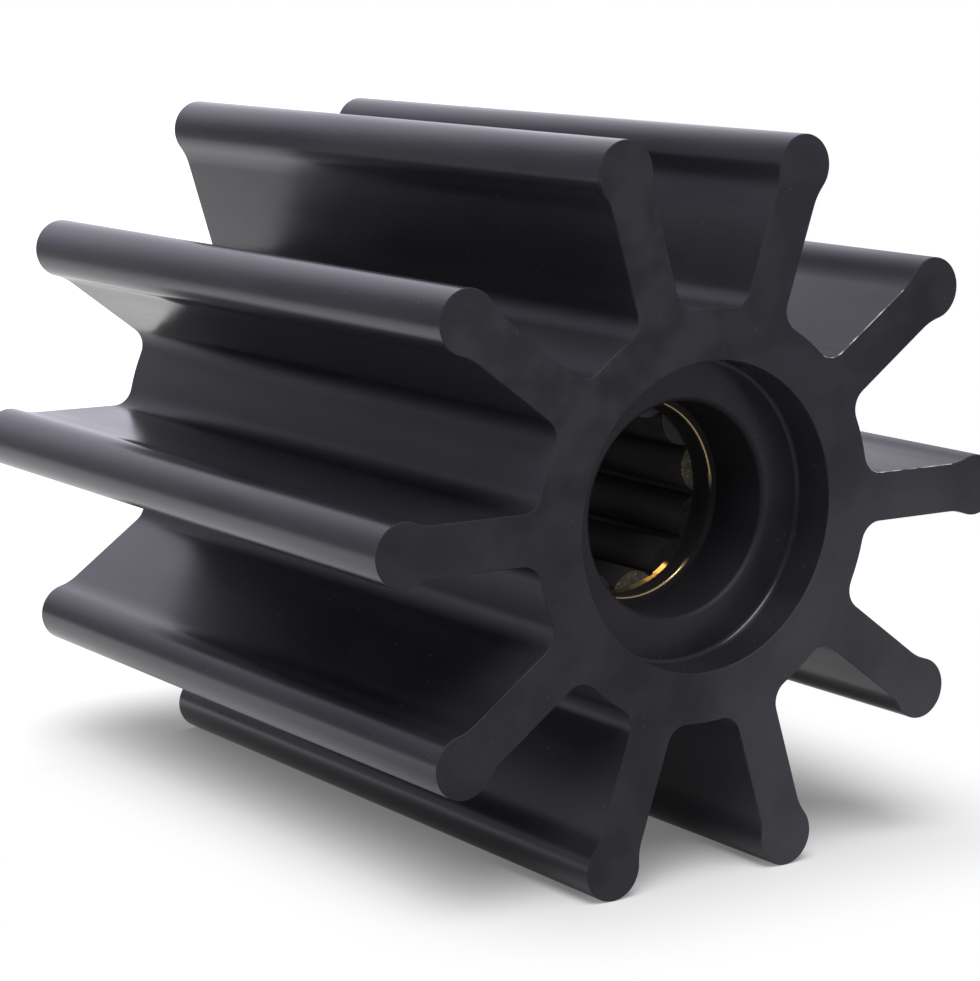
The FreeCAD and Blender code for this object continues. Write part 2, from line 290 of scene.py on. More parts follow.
# %% Edges and shading of the moulding
def is_flat_end(face):
    at_end = abs(abs(face.calc_center_median().y) - HALF_LENGTH) < SAME_PLACE
    return at_end and abs(face.normal.y) > FLAT


def is_end_edge(edge):
    return sum(is_flat_end(face) for face in edge.link_faces) == 1


def smooth(piece, angle):
    """Smooth shading that leaves corners sharp, with normals that follow the widest faces."""
    bpy.ops.object.select_all(action="DESELECT")
    piece.select_set(True)
    bpy.context.view_layer.objects.active = piece
    bpy.ops.object.shade_smooth_by_angle(angle=math.radians(angle))
    weighted = piece.modifiers.new("flat_faces_stay_flat", "WEIGHTED_NORMAL")
    weighted.keep_sharp = True
    bpy.ops.object.modifier_apply(modifier=weighted.name)


pick("EDGE", is_end_edge)
bpy.ops.mesh.bevel(offset=RUBBER_EDGE, segments=3, profile=0.5)
bpy.ops.object.mode_set(mode="OBJECT")
smooth(moulding, angle=50)
report(moulding)

# %% [markdown]
# The insert. Its spline has twelve teeth with broad round faces. Nine faces of the groove wall are
# extruded inwards along that round, and bowed the other way at its top. The teeth stop short of the
# ends, where a plain bore and a narrow cone lead the shaft in. The slice is as long as the grooves,
# and the first step of a tooth is shortened a little, which gives its ends their share of the cone.
# Then the rims run down the cone, along the plain bore to the mouth, and round the outside.

# %% The splined insert
FACE_CAP = 26.0
HALF_ROOT = 13.5
tooth_slice = 360 / TOOTH_COUNT
slice_start = -HALF_ROOT - 2 * HALF_SIDE
tooth_half_length = SLEEVE_HALF_LENGTH - PILOT_DEPTH - LEAD_IN
groove_half_length = SLEEVE_HALF_LENGTH - PILOT_DEPTH - (PILOT_RADIUS - GROOVE_RADIUS)
face_centre = TOOTH_TIP_RADIUS + TOOTH_FACE_RADIUS
groove_sine = math.sin(math.radians(HALF_ROOT))
groove_cosine = math.cos(math.radians(HALF_ROOT))
cone_foot = (PILOT_RADIUS - LEAD_IN) * groove_cosine
face_start = math.degrees(math.acos((cone_foot - face_centre) / TOOTH_FACE_RADIUS))

tooth_outline = [(GROOVE_RADIUS * groove_cosine, GROOVE_RADIUS * groove_sine)]
tooth_outline += [(cone_foot, TOOTH_FACE_RADIUS * math.sin(math.radians(face_start)))]
tooth_outline += arc_points((face_centre, 0), TOOTH_FACE_RADIUS, face_start, 180 - FACE_CAP, count=4)

insert = open_tube("brass_insert", GROOVE_RADIUS, groove_half_length, turn=HALF_SIDE)
pick("FACE", lambda face: not 0 < turn_of(face.calc_center_median()) - slice_start < tooth_slice)
bpy.ops.mesh.delete(type="FACE")
pick("FACE", lambda face: abs(turn_of(face.calc_center_median())) < HALF_ROOT)
raise_faces(tooth_outline[:2])
bpy.ops.transform.resize(value=(1, tooth_half_length / groove_half_length, 1),
                         center_override=(0, 0, 0))
raise_faces(tooth_outline[1:])
cap_x, cap_width = tooth_outline[-1]
groove_bow = GROOVE_RADIUS * (1 - groove_cosine) * cap_width / tooth_outline[0][1]
round_off(cap_x, groove_bow, -TOOTH_FACE_RADIUS * (1 - math.cos(math.radians(FACE_CAP))))

sleeve_section = [(GROOVE_RADIUS, groove_half_length), (PILOT_RADIUS, SLEEVE_HALF_LENGTH - PILOT_DEPTH),
                  (PILOT_RADIUS, SLEEVE_HALF_LENGTH - MOUTH_EDGE)]
sleeve_section += arc_points((PILOT_RADIUS + MOUTH_EDGE, SLEEVE_HALF_LENGTH - MOUTH_EDGE),
                             MOUTH_EDGE, 180, 90, count=4)
sleeve_section += [(SLEEVE_RADIUS, SLEEVE_HALF_LENGTH), (SLEEVE_RADIUS, 0)]

pick("EDGE", lambda edge: on_end_rim(edge, GROOVE_RADIUS, groove_half_length))
line_ends(sleeve_section)
join_flat_ends(tooth_half_length)
repeat_round(TOOTH_COUNT)
print("tooth outline has", len(tooth_outline), "points, sleeve section", len(sleeve_section))

# %% [markdown]
# The broach leaves the rims of the tooth ends sharp, and a shaft soon takes off the worst of it. A
# bevel too narrow to see as a shape gives each rim its line of light. Then the whole insert is turned
# to where the teeth stand in the photograph.

# %% Edges and shading of the insert
SHARP_TURN = 60


def is_tooth_end_edge(edge):
    at_end = all(abs(abs(vertex.co.y) - tooth_half_length) < SAME_PLACE for vertex in edge.verts)
    inside = all(off_axis(vertex.co) < GROOVE_RADIUS + SAME_PLACE for vertex in edge.verts)
    return at_end and inside and edge.calc_face_angle() > math.radians(SHARP_TURN)


pick("EDGE", is_tooth_end_edge)
bpy.ops.mesh.bevel(offset=BRASS_EDGE, segments=2, profile=0.5)
bpy.ops.mesh.select_all(action="SELECT")
bpy.ops.transform.rotate(value=math.radians(SPLINE_TURN), orient_axis="Y",
                         center_override=(0, 0, 0))
bpy.ops.object.mode_set(mode="OBJECT")
smooth(insert, angle=35)
report(insert)
tips = [vertex.co for vertex in insert.data.vertices
        if off_axis(vertex.co) < TOOTH_TIP_RADIUS + SAME_PLACE]
print("teeth point at", sorted({round(turn_of(tip) % tooth_slice, 1) for tip in tips}), "degrees")

# %% [markdown]
# Both pieces join the frame: each rides on the part's one body and takes the place of its solid,
# which is hidden.

# %% Each piece takes the place of its solid
for piece, node, slot in ((moulding, "rubber_moulding", "rubber"), (insert, "splined_insert", "brass")):
    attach(piece, "root")
    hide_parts(node)
    print(piece.name, "stands for", node)

# %% [markdown]
# Materials are built from nodes, which is wordy in code: a node is made, its settings are chosen, and
# each input gets a number or a wire. These helpers do all of that in one call, so that a material
# below reads from its pattern to its shader. A Mix node has several inputs called A and B, one pair
# for each kind of data, so the colour mixer finds its own pair by number.

# %% Helpers for nodes
def node(tree, kind, wires=None, **settings):
    """Add a node. Wires name its inputs: a socket is linked, any other value is set."""
    made = tree.nodes.new("ShaderNode" + kind)
    for name, setting in settings.items():
        setattr(made, name, setting)
    for name, source in (wires or {}).items():
        if isinstance(source, bpy.types.NodeSocket):
            tree.links.new(source, made.inputs[name])
        else:
            made.inputs[name].default_value = source
    return made


def math_node(tree, operation, first, second=0.0):
    return node(tree, "Math", {0: first, 1: second}, operation=operation).outputs[0]


def spread_out(tree, value, low, high, to_low=0.0, to_high=1.0):
    """Stretch the values between low and high softly over another range."""
    wires = {"Value": value, "From Min": low, "From Max": high, "To Min": to_low, "To Max": to_high}
    return node(tree, "MapRange", wires, interpolation_type="SMOOTHSTEP").outputs["Result"]


def mix_colours(tree, share, first, second):
    """Blend two colours, each a socket or a red, green and blue triple."""
    ends = []
    for colour in (first, second):
        ends.append(colour if isinstance(colour, bpy.types.NodeSocket) else (*colour, 1))
    return node(tree, "Mix", {0: share, 6: ends[0], 7: ends[1]}, data_type="RGBA").outputs[2]


def stain_or_light_with(tree, colour, tint, mask, strength):
    """Blend a tint into a colour where a mask is full, but never by more than a strength."""
    return mix_colours(tree, math_node(tree, "MULTIPLY", mask, strength), colour, tint)


def add_layers(tree, *layers):
    """Sum of patterns, each times its own amount."""
    total = None
    for pattern, amount in layers:
        layer = math_node(tree, "MULTIPLY", pattern, amount)
        total = layer if total is None else math_node(tree, "ADD", total, layer)
    return total


def new_material(name):
    """A material with its node tree, its shader and the place on the piece."""
    material = bpy.data.materials.new(name)
    material.use_nodes = True
    tree = material.node_tree
    return material, tree, tree.nodes["Principled BSDF"], node(tree, "TexCoord").outputs["Object"]


def dress(material, shader, colour, roughness, *relief):
    """Wire a colour, a roughness and a relief in metres to the shader of a material."""
    tree = material.node_tree
    bump = node(tree, "Bump", {"Height": add_layers(tree, *relief), "Distance": 1.0})
    tree.links.new(colour, shader.inputs["Base Color"])
    tree.links.new(roughness, shader.inputs["Roughness"])
    tree.links.new(bump.outputs["Normal"], shader.inputs["Normal"])
    print(material.name, "has", len(tree.nodes), "nodes")


def new_group(name, inputs, output):
    """A node group with named inputs, each with its own default, and one output."""
    group = bpy.data.node_groups.new(name, "ShaderNodeTree")
    group.interface.new_socket("Place", in_out="INPUT", socket_type="NodeSocketVector")
    for label, value in inputs.items():
        made = group.interface.new_socket(label, in_out="INPUT", socket_type="NodeSocketFloat")
        made.default_value = value
    group.interface.new_socket(output, in_out="OUTPUT", socket_type="NodeSocketFloat")
    return group, group.nodes.new("NodeGroupInput").outputs, group.nodes.new("NodeGroupOutput")


# %% [markdown]
# Black rubber is never one even black. Its mix, its release agent and many hands leave soft clouds,
# and the mould leaves fine lines along the vanes. Both are the same effect at another size: a smooth
# noise, longer along the bore than across it. It is a group, because both kinds of rubber and the
# brass use it. Reach says how far from the middle a noise value lies that counts as full or empty.

# %% Group: mottling
mottling, given, out = new_group("mottling", {"Across": 0.01, "Along": 0.01, "Reach": 0.15}, "Shade")
across = math_node(mottling, "DIVIDE", 1.0, given["Across"])
along = math_node(mottling, "DIVIDE", 1.0, given["Along"])
scale = node(mottling, "CombineXYZ", {"X": across, "Y": along, "Z": across}).outputs[0]
scaled = node(mottling, "VectorMath", {0: given["Place"], 1: scale}, operation="MULTIPLY").outputs[0]
noise = node(mottling, "TexNoise", {"Vector": scaled, "Scale": 1.0, "Detail": 2.0}).outputs[0]
low = math_node(mottling, "SUBTRACT", 0.5, given["Reach"])
high = math_node(mottling, "ADD", 0.5, given["Reach"])
mottling.links.new(spread_out(mottling, noise, low, high), out.inputs["Shade"])


def mottle(tree, place, across, along, reach):
    wires = {"Place": place, "Across": across * MM, "Along": along * MM, "Reach": reach}
    return node(tree, "Group", wires, node_tree=mottling).outputs["Shade"]


print(mottling.name, "has", len(mottling.nodes), "nodes")

# %% [markdown]
# Lint and dust cling to rubber, and a broached tooth keeps bright burrs. Both are small scattered
# dots. A Voronoi texture puts one point at random in each cell of space. A dot shows where the
# surface passes close to such a point, and the cell's own random colour leaves most cells empty.

# %% Group: specks
specks, given, out = new_group("specks", {"Spacing": 0.0012, "Radius": 0.00012, "Share": 0.3}, "Mask")
density = math_node(specks, "DIVIDE", 1.0, given["Spacing"])
cells = node(specks, "TexVoronoi", {"Vector": given["Place"], "Scale": density})
size = math_node(specks, "DIVIDE", given["Radius"], given["Spacing"])
core = math_node(specks, "MULTIPLY", size, 0.5)
dot = spread_out(specks, cells.outputs["Distance"], core, size, 1.0, 0.0)
draw = node(specks, "SeparateColor", {"Color": cells.outputs["Color"]}).outputs["Red"]
kept = math_node(specks, "LESS_THAN", draw, given["Share"])
specks.links.new(math_node(specks, "MULTIPLY", dot, kept), out.inputs["Mask"])


def speckle(tree, place, spacing, radius, share):
    wires = {"Place": place, "Spacing": spacing * MM, "Radius": radius * MM, "Share": share}
    return node(tree, "Group", wires, node_tree=specks).outputs["Mask"]


print(specks.name, "has", len(specks.nodes), "nodes")

# %% [markdown]
# Wear on this part depends on the distance to its ends, where it is handled and slides on the pump's
# cover. The group turns the distance from the middle of the bore into a mask that is full at the end.

# %% Group: worn ends
worn_ends, given, out = new_group("worn_ends", {"End": 0.05, "Fade": 0.001}, "Mask")
along_bore = node(worn_ends, "SeparateXYZ", {0: given["Place"]}).outputs["Y"]
from_middle = math_node(worn_ends, "ABSOLUTE", along_bore)
begin = math_node(worn_ends, "SUBTRACT", given["End"], given["Fade"])
worn_ends.links.new(spread_out(worn_ends, from_middle, begin, given["End"]), out.inputs["Mask"])


def wear(tree, place, end, fade):
    wires = {"Place": place, "End": end, "Fade": fade * MM}
    return node(tree, "Group", wires, node_tree=worn_ends).outputs["Mask"]


print(worn_ends.name, "has", len(worn_ends.nodes), "nodes")

# %% [markdown]
# Other marks depend on the distance to the axis: the lip that the shaft brushes, the hub between the
# vanes, the bottoms of the spline's grooves. This group turns the distance into a mask that is empty
# inside one radius and full outside another.

# %% Group: outside a radius
past_radius, given, out = new_group("past_radius", {"Empty": 0.01, "Full": 0.02}, "Mask")
flattened = node(past_radius, "VectorMath", {0: given["Place"], 1: (1, 0, 1)}, operation="MULTIPLY")
from_axis = node(past_radius, "VectorMath", {0: flattened.outputs[0]}, operation="LENGTH")
mask = spread_out(past_radius, from_axis.outputs["Value"], given["Empty"], given["Full"])
past_radius.links.new(mask, out.inputs["Mask"])


def outside(tree, place, empty, full):
    wires = {"Place": place, "Empty": empty, "Full": full}
    return node(tree, "Group", wires, node_tree=past_radius).outputs["Mask"]


print(past_radius.name, "has", len(past_radius.nodes), "nodes")

# %% [markdown]
# Some marks lie on one side of the bore only. Here one side of the mouth ring and most of the cone are
# painted dark as shade, and one side of the end face is painted paler as light. The group gives the
# share of a place that lies towards a side of the bore: From and To are the cosines of the angle to
# that side where the mask starts and is full.

# %% Group: one side
one_side, given, out = new_group("one_side", {"Turn": 0.0, "From": 0.8, "To": 0.95}, "Mask")
parts = node(one_side, "SeparateXYZ", {0: given["Place"]}).outputs
turn = math_node(one_side, "ARCTAN2", parts["Z"], parts["X"])
closeness = math_node(one_side, "COSINE", math_node(one_side, "SUBTRACT", turn, given["Turn"]))
one_side.links.new(spread_out(one_side, closeness, given["From"], given["To"]), out.inputs["Mask"])


def towards(tree, place, turn, start, full):
    """Mask of one side. Turn is its place round the bore, start and full are degrees off its middle."""
    wires = {"Place": place, "Turn": math.radians(turn), "From": math.cos(math.radians(start)),
             "To": math.cos(math.radians(full))}
    return node(tree, "Group", wires, node_tree=one_side).outputs["Mask"]


print(one_side.name, "has", len(one_side.nodes), "nodes")

# %% [markdown]
# The flat ends are cut and ground, so they are matt: charcoal rather than black, with cloudy patches,
# paler smudges and a few light specks. Towards one side the face is painted paler, as painted light,
# and on the other a wet hand left smears. The sheen is low because the cut surface is rough at a scale
# too small to see, and a fine grain in the bump breaks up what is left of it.

# %% Cut rubber
CUT_BLACK = (0.022, 0.021, 0.0275)
CUT_CHARCOAL = (0.032, 0.030, 0.0395)
SMUDGE_GREY = (0.044, 0.042, 0.053)
PAINTED_LIGHT_GREY = (0.072, 0.070, 0.082)
SMEAR_GREY = (0.07, 0.068, 0.08)
GRAIN_BLACK = (0.02, 0.019, 0.024)
FLECK_GREY = (0.075, 0.073, 0.083)

cut_rubber, tree, shader, place = new_material("cut_rubber")
clouds = mottle(tree, place, across=7, along=7, reach=0.13)
smudges = mottle(tree, place, across=26, along=26, reach=0.14)
streaks = mottle(tree, place, across=3.5, along=3.5, reach=0.16)
grain = mottle(tree, place, across=0.35, along=0.35, reach=0.4)
flecks = speckle(tree, place, spacing=1.6, radius=0.14, share=0.25)
cloudy = spread_out(tree, smudges, 0, 1, to_low=0.5, to_high=1.0)
# Painted light: one side of the end face is made paler, where more light falls on it.
lit_face_side = towards(tree, place, turn=-38, start=60, full=10)
face_light = math_node(tree, "MULTIPLY", lit_face_side, cloudy)
smear_side = towards(tree, place, turn=125, start=50, full=20)
smears = math_node(tree, "MULTIPLY", smear_side, streaks)
colour = mix_colours(tree, clouds, CUT_BLACK, CUT_CHARCOAL)
colour = stain_or_light_with(tree, colour, SMUDGE_GREY, smudges, strength=0.3)
colour = stain_or_light_with(tree, colour, PAINTED_LIGHT_GREY, face_light, strength=0.9)
colour = stain_or_light_with(tree, colour, SMEAR_GREY, smears, strength=0.15)
colour = stain_or_light_with(tree, colour, GRAIN_BLACK, grain, strength=0.25)
colour = mix_colours(tree, flecks, colour, FLECK_GREY)
roughness = spread_out(tree, clouds, 0, 1, to_low=0.7, to_high=0.55)
shader.inputs["Specular IOR Level"].default_value = 0.25
dress(cut_rubber, shader, colour, roughness, (grain, 0.012 * MM), (clouds, 0.05 * MM))

# %% [markdown]
# Everything else on the moulding has the skin of the mould: smooth, almost black, and glossy enough
# that the far ends of the vanes, seen at a low angle, mirror the white background. The gloss is not
# even. Clouds change the roughness a little, fine lines run along the vanes, and a slow waviness of
# a few hundredths of a millimetre bends the reflections. Dust lies on it, the ends are scuffed, and
# the lip round the bore is matt and darker. The hub
# between the vanes is duller than they are, where the release agent gathered in the narrow mould.

# %% Moulded rubber
SKIN_BLACK = (0.017, 0.0165, 0.021)
SKIN_CLOUD = (0.024, 0.0235, 0.028)
SCUFF_GREY = (0.04, 0.039, 0.046)
LIP_BLACK = (0.008, 0.008, 0.01)
DUST_GREY = (0.16, 0.16, 0.17)
COOL_SHEEN = (0.89, 0.87, 1, 1)
SKIN_ROUGHNESS = 0.19

moulded_rubber, tree, shader, place = new_material("moulded_rubber")
clouds = mottle(tree, place, across=10, along=40, reach=0.16)
lines = mottle(tree, place, across=0.7, along=30, reach=0.3)
dust = speckle(tree, place, spacing=1.3, radius=0.13, share=0.22)
scuffs = math_node(tree, "MULTIPLY", wear(tree, place, end=HALF_LENGTH, fade=0.5), clouds)
past_lip = outside(tree, place, empty=LIP_RADIUS + 0.5 * LIP_EDGE, full=LIP_RADIUS + LIP_EDGE)
lip = math_node(tree, "SUBTRACT", 1.0, past_lip)
past_recess = outside(tree, place, empty=HUB_RADIUS - 3 * MM, full=HUB_RADIUS - 1 * MM)
on_vanes = outside(tree, place, empty=HUB_RADIUS + 0.5 * MM, full=HUB_RADIUS + 4 * MM)
hub = math_node(tree, "SUBTRACT", past_recess, on_vanes)
colour = mix_colours(tree, clouds, SKIN_BLACK, SKIN_CLOUD)
colour = stain_or_light_with(tree, colour, SCUFF_GREY, scuffs, strength=0.5)
colour = stain_or_light_with(tree, colour, LIP_BLACK, lip, strength=0.6)
colour = stain_or_light_with(tree, colour, DUST_GREY, dust, strength=0.35)
dullness = add_layers(tree, (clouds, 0.06), (lines, 0.02), (dust, 0.4), (scuffs, 0.1),
                      (lip, 0.4), (hub, 0.26))
roughness = math_node(tree, "ADD", dullness, SKIN_ROUGHNESS)
shader.inputs["Specular IOR Level"].default_value = 0.54
shader.inputs["Specular Tint"].default_value = COOL_SHEEN
dress(moulded_rubber, shader, colour, roughness, (clouds, 0.03 * MM), (lines, 0.0001 * MM))

# %% [markdown]
# The upper edges of two vanes carry a thin, broken line of white, a painted highlight. It is a pale
# matt colour on the bevel, with gaps in the line.

# %% Edge highlight
EDGE_GREY = (0.08, 0.079, 0.09)
HIGHLIGHT_WHITE = (0.85, 0.85, 0.92)

# Painted highlight: a pale matt colour on the upper bevels of two vanes stands in for a line of light.
edge_highlight, tree, shader, place = new_material("edge_highlight")
patches = mottle(tree, place, across=1.2, along=1.2, reach=0.12)
stretches = mottle(tree, place, across=5, along=5, reach=0.12)
interruptions = spread_out(tree, stretches, 0, 1, to_low=0.45, to_high=1.0)
edge_light = math_node(tree, "MULTIPLY", patches, interruptions)
colour = mix_colours(tree, edge_light, EDGE_GREY, HIGHLIGHT_WHITE)
roughness = spread_out(tree, edge_light, 0, 1, to_low=0.4, to_high=0.7)
dress(edge_highlight, shader, colour, roughness, (patches, 0.02 * MM))

# %% [markdown]
# Inside the insert the brass is stained almost black by grease and water: the plain bore at its
# mouth, which keeps the fine rings of the lathe, and the teeth. The bottoms of the grooves, which no
# shaft touches, hold the most grease.

# %% Stained brass
TOOTH_STAIN = (0.10, 0.09, 0.096)
TOOTH_METAL = (0.15, 0.135, 0.14)
PLAIN_BORE_STAIN = (0.055, 0.049, 0.052)
GROOVE_GREASE = (0.07, 0.063, 0.066)

stained_brass, tree, shader, place = new_material("stained_brass")
stain = mottle(tree, place, across=2, along=12, reach=0.2)
rings = mottle(tree, place, across=60, along=0.12, reach=0.35)
deep = outside(tree, place, empty=GROOVE_RADIUS - 0.6 * MM, full=GROOVE_RADIUS - 0.1 * MM)
plain = outside(tree, place, empty=GROOVE_RADIUS + 0.1 * MM, full=PILOT_RADIUS)
grease = math_node(tree, "SUBTRACT", deep, plain)
colour = mix_colours(tree, stain, TOOTH_STAIN, TOOTH_METAL)
colour = mix_colours(tree, plain, colour, PLAIN_BORE_STAIN)
colour = mix_colours(tree, grease, colour, GROOVE_GREASE)
roughness = spread_out(tree, stain, 0, 1, to_low=0.65, to_high=0.75)
shader.inputs["Metallic"].default_value = 0.6
dress(stained_brass, shader, colour, roughness, (stain, 0.01 * MM), (rings, 0.002 * MM))

# %% [markdown]
# The rounded mouth stays bright, because a shaft rubs it each time it goes in. It is pale gold, with
# the tool's rings in it, except on one side, which is painted dark, dull and not metallic as painted
# shade. There it is as dark as the rest.

# %% Rubbed brass
PALE_GOLD = (1.0, 0.83, 0.47)
TARNISHED_GOLD = (0.95, 0.70, 0.32)
RING_SHADE_BLACK = (0.02, 0.018, 0.018)

rubbed_brass, tree, shader, place = new_material("rubbed_brass")
tarnish = mottle(tree, place, across=1.5, along=1.5, reach=0.2)
rings = mottle(tree, place, across=60, along=0.12, reach=0.35)
# Painted shade: one side of the ring is made dark, where it mirrors no light.
ring_shade_side = towards(tree, place, turn=-21, start=34, full=20)
colour = mix_colours(tree, tarnish, PALE_GOLD, TARNISHED_GOLD)
colour = mix_colours(tree, ring_shade_side, colour, RING_SHADE_BLACK)
roughness = spread_out(tree, ring_shade_side, 0, 1, to_low=0.25, to_high=0.65)
shader.inputs["Specular IOR Level"].default_value = 0.1
tree.links.new(math_node(tree, "SUBTRACT", 1.0, ring_shade_side), shader.inputs["Metallic"])
dress(rubbed_brass, shader, colour, roughness, (rings, 0.003 * MM))

# %% [markdown]
# The cone in front of the teeth is painted dark, dull and not metallic nearly all round, as painted
# shade. Only at the bottom of the bore, where the softbox's highlight falls, is it bare metal, with an
# orange patch painted where that begins, a painted tint of the highlight.

# %% Cone brass
CONE_GOLD = (0.72, 0.55, 0.27)
CONE_BROWN = (0.42, 0.31, 0.15)
HIGHLIGHT_ORANGE = (0.95, 0.48, 0.1)
CONE_SHADE_BLACK = (0.012, 0.011, 0.011)

cone_brass, tree, shader, place = new_material("cone_brass")
tarnish = mottle(tree, place, across=1.5, along=1.5, reach=0.2)
# Painted shade: away from the bottom, where the highlight falls, the cone is made dark and dull.
lit_cone_side = towards(tree, place, turn=-82, start=33, full=28)
# Painted highlight: an orange tint on the spot where the softbox's highlight falls.
orange_highlight_spot = towards(tree, place, turn=-60, start=14, full=5)
colour = mix_colours(tree, tarnish, CONE_GOLD, CONE_BROWN)
colour = mix_colours(tree, orange_highlight_spot, colour, HIGHLIGHT_ORANGE)
colour = mix_colours(tree, lit_cone_side, CONE_SHADE_BLACK, colour)
roughness = spread_out(tree, lit_cone_side, 0, 1, to_low=0.6, to_high=0.32)
shader.inputs["Specular IOR Level"].default_value = 0.2
tree.links.new(lit_cone_side, shader.inputs["Metallic"])
dress(cone_brass, shader, colour, roughness, (tarnish, 0.02 * MM))

# %% [markdown]
# The ends of two teeth are a soft black that hides the metal below it, a little darker in some
# places than in others.

# %% Black tooth ends
DEEPER_BLACK = (0.025, 0.022, 0.023)
SOFTER_BLACK = (0.036, 0.032, 0.033)

black_tooth_ends, tree, shader, place = new_material("black_tooth_ends")
patchiness = mottle(tree, place, across=0.8, along=0.8, reach=0.2)
colour = mix_colours(tree, patchiness, DEEPER_BLACK, SOFTER_BLACK)
roughness = spread_out(tree, patchiness, 0, 1, to_low=0.65, to_high=0.5)
shader.inputs["Specular IOR Level"].default_value = 0.2
dress(black_tooth_ends, shader, colour, roughness, (patchiness, 0.02 * MM))

# %% [markdown]
# The ends of the teeth were cut when the spline was broached, and on several of them they show a dull
# olive metal. The tool has torn it a little: dark pits, and small burrs that catch light.

# %% Torn brass
PIT_OLIVE = (0.17, 0.155, 0.115)
TORN_OLIVE = (0.29, 0.265, 0.20)
BURR_METAL = (0.62, 0.58, 0.46)

torn_brass, tree, shader, place = new_material("torn_brass")
patches = mottle(tree, place, across=0.7, along=0.7, reach=0.2)
burrs = speckle(tree, place, spacing=0.55, radius=0.2, share=0.5)
colour = mix_colours(tree, patches, PIT_OLIVE, TORN_OLIVE)
colour = mix_colours(tree, burrs, colour, BURR_METAL)
roughness = spread_out(tree, patches, 0, 1, to_low=0.65, to_high=0.5)
shader.inputs["Metallic"].default_value = 0.6
dress(torn_brass, shader, colour, roughness, (patches, 0.04 * MM), (burrs, 0.03 * MM))

# %% [markdown]
# A piece can carry several materials, and each of its faces names one by its number in the list. The
# faces are told apart by their place. Cut rubber goes on the flat ends of the moulding and their
# narrow bevels, but for the upper bevels of two vanes, which end where the bead begins and carry a
# painted highlight.

# %% Which face of the moulding gets which material
SKIN, CUT, EDGE_HIGHLIGHT = range(3)
HIGHLIGHT_FROM = -5
HIGHLIGHT_TO = 55
HIGHLIGHT_REACH = TIP_RADIUS - 2.4 * BEAD_RADIUS
NEARLY_FLAT = 0.95
FACING_UP = 0.3


def rubber_kind(polygon):
    if abs(polygon.center.y) < HALF_LENGTH - RUBBER_EDGE - SAME_PLACE:
        return SKIN
    # The upper bevels of two vanes, between the hub and the bead, get the painted highlight.
    beside_vane = HUB_RADIUS < off_axis(polygon.center) < HIGHLIGHT_REACH
    at_these_vanes = HIGHLIGHT_FROM < turn_of(polygon.center) < HIGHLIGHT_TO
    on_upper_bevel = abs(polygon.normal.y) < NEARLY_FLAT and polygon.normal.z > FACING_UP
    return EDGE_HIGHLIGHT if beside_vane and at_these_vanes and on_upper_bevel else CUT


def give_materials(piece, materials, choose):
    for material in materials:
        piece.data.materials.append(material)
    for polygon in piece.data.polygons:
        polygon.material_index = choose(polygon)
    used = [polygon.material_index for polygon in piece.data.polygons]
    print(piece.name, {material.name: used.count(number) for number, material in enumerate(materials)})


give_materials(moulding, (moulded_rubber, cut_rubber, edge_highlight), rubber_kind)

# %% [markdown]
# Rubbed brass goes on the rounded mouth of the insert and cone brass on the cone. Of the teeth, a few
# have torn olive ends, one only a rim of torn brass, a painted highlight, and two have black ends.
# They are counted round the bore from the one that stands nearest to +X.

# %% Which face of the insert gets which material
STAINED, RUBBED, ON_CONE, TORN, BLACK_ENDS = range(5)
OLIVE_TEETH = (0, 3, 5, 9)
BLACK_END_TEETH = (10, 11)
RIM_LIT_TOOTH = 1


def brass_kind(polygon):
    along = abs(polygon.center.y)
    if off_axis(polygon.center) > PILOT_RADIUS + MOUTH_EDGE:
        return STAINED
    if along > SLEEVE_HALF_LENGTH - MOUTH_EDGE:
        return RUBBED
    if SLEEVE_HALF_LENGTH - PILOT_DEPTH > along > tooth_half_length + SAME_PLACE:
        return ON_CONE
    if abs(along - tooth_half_length) > BRASS_EDGE + SAME_PLACE:
        return STAINED
    tooth = round((turn_of(polygon.center) - SPLINE_TURN) / tooth_slice) % TOOTH_COUNT
    if tooth in BLACK_END_TEETH:
        return BLACK_ENDS
    # Painted highlight: the rim of one tooth gets the paler torn brass, to show a line of light.
    rim_highlight = tooth == RIM_LIT_TOOTH and abs(polygon.normal.y) < NEARLY_FLAT
    return TORN if rim_highlight or tooth in OLIVE_TEETH else STAINED


give_materials(insert, (stained_brass, rubbed_brass, cone_brass, torn_brass, black_tooth_ends), brass_kind)

# %% [markdown]
# Black rubber shows little of its own colour: what the eye reads is mostly the room that it mirrors.
# So the glossy rays find a room of their own, with a backdrop lit brighter than white behind the part,
# dim walls at its sides and a dark corner where the camera stands. The group gives its brightness in
# any direction. It stands alone because the sky and the floor both use it, so they meet without a line.

# %% Group: room
BACKDROP = (0.15, 0.973, 0.175)
BACKDROP_LEVEL = 1.38
CAMERA_CORNER = (-0.57, -0.80, 0.17)
WALL_LEVEL = 0.33
CORNER_LEVEL = 0.2
BACKDROP_RIM = (0.79, 0.91)
CORNER_RIM = (0.60, 0.88)


def closeness_to(tree, direction, goal):
    """Cosine of the angle between a direction and a goal of length one."""
    return node(tree, "VectorMath", {0: direction, 1: goal}, operation="DOT_PRODUCT").outputs["Value"]


room, given, out = new_group("room", {}, "Level")
direction = node(room, "VectorMath", {0: given["Place"]}, operation="NORMALIZE").outputs[0]
to_backdrop = closeness_to(room, direction, BACKDROP)
to_corner = closeness_to(room, direction, CAMERA_CORNER)
walls = spread_out(room, to_backdrop, *BACKDROP_RIM, WALL_LEVEL, BACKDROP_LEVEL)
corner = spread_out(room, to_corner, *CORNER_RIM, 1.0, CORNER_LEVEL)
room.links.new(math_node(room, "MULTIPLY", walls, corner), out.inputs["Level"])
print(room.name, "has", len(room.nodes), "nodes")

